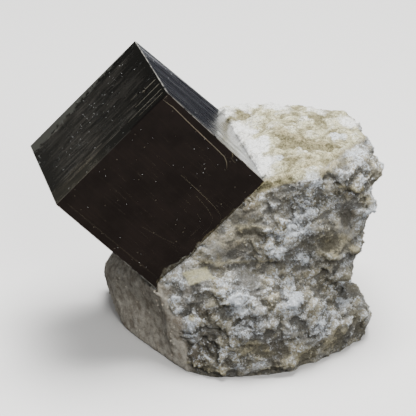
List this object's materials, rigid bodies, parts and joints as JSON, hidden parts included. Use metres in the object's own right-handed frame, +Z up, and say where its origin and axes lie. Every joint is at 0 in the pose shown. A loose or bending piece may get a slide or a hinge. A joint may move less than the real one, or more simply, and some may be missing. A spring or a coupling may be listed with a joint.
{
  "type": "pyrite cube on matrix rock",
  "caption": "Sharp-edged metallic cube crystal standing on a corner, half sunk in a rough pale lump of marl with a flat shelf and a flat-cut base.",
  "frame": {"origin": "a point on the flat underside of the stone, under the middle of the specimen", "axes": "+Z up, -Y towards the viewer's side that shows the crystal's broad dark face, +X towards the high end of the stone; the crystal stands at -X"},
  "size_m": [0.0486, 0.032, 0.0401],
  "materials": {
    "pyrite": "dark mirror-bright crystal faces with fine parallel striations",
    "marl": "matt, chalky, freshly broken, cream to blue-white with tan ledges"
  },
  "bodies": {
    "root": {"pyrite_cube": "pyrite", "matrix_stone": "marl"}
  },
  "joints": []
}
